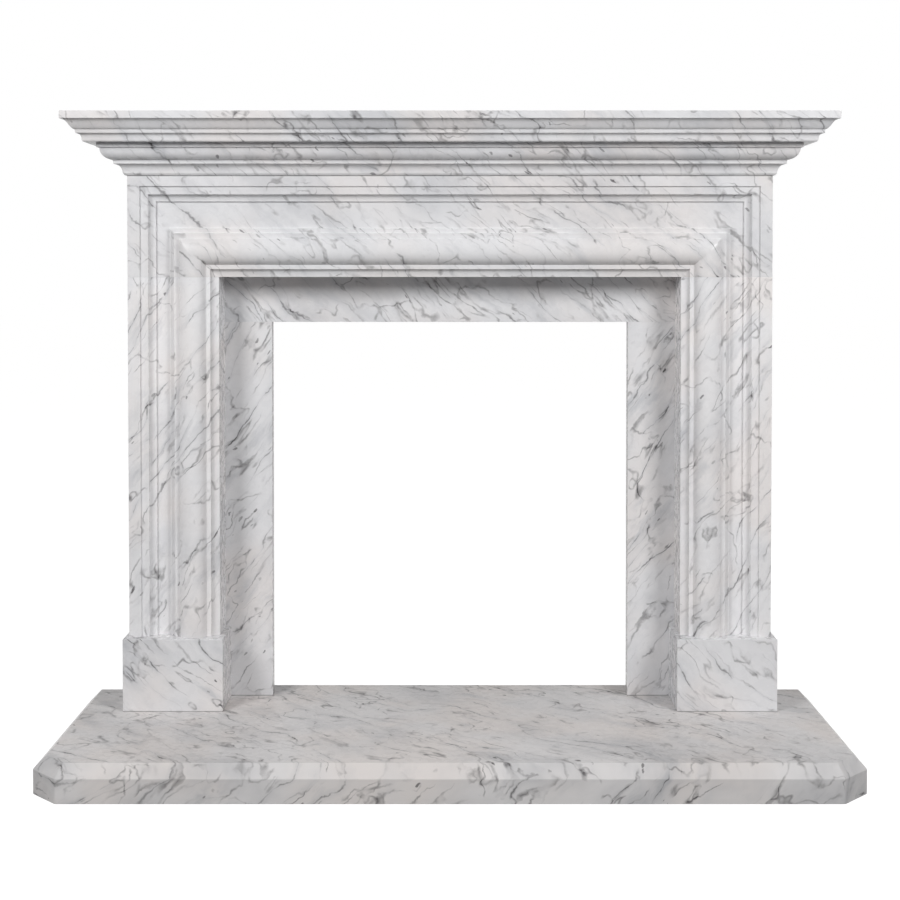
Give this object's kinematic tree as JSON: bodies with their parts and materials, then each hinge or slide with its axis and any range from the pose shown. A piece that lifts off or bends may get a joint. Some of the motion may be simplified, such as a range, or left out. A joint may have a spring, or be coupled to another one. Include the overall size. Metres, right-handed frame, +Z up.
{
  "type": "fireplace mantel",
  "caption": "Moulded stone fireplace surround with a bolection frame, a stepped shelf, foot blocks, plain slips and a chamfered hearth.",
  "frame": {"origin": "centre of the underside's bounding rectangle, on the floor under the hearth", "axes": "+X along the shelf, +Y into the wall, +Z up"},
  "size_m": [1.509, 0.525, 1.254],
  "materials": {
    "surround_marble": "polished white marble with grey veins",
    "slip_marble": "polished white marble with grey veins",
    "hearth_marble": "polished warm grey-white marble with grey veins"
  },
  "bodies": {
    "root": {"hearth": "hearth_marble", "plinth_left": "surround_marble", "plinth_right": "surround_marble", "jamb_left": "surround_marble", "jamb_right": "surround_marble", "header": "surround_marble", "bed_mould": "surround_marble", "shelf": "surround_marble", "slip_left": "slip_marble", "slip_right": "slip_marble", "slip_head": "slip_marble"}
  },
  "joints": []
}
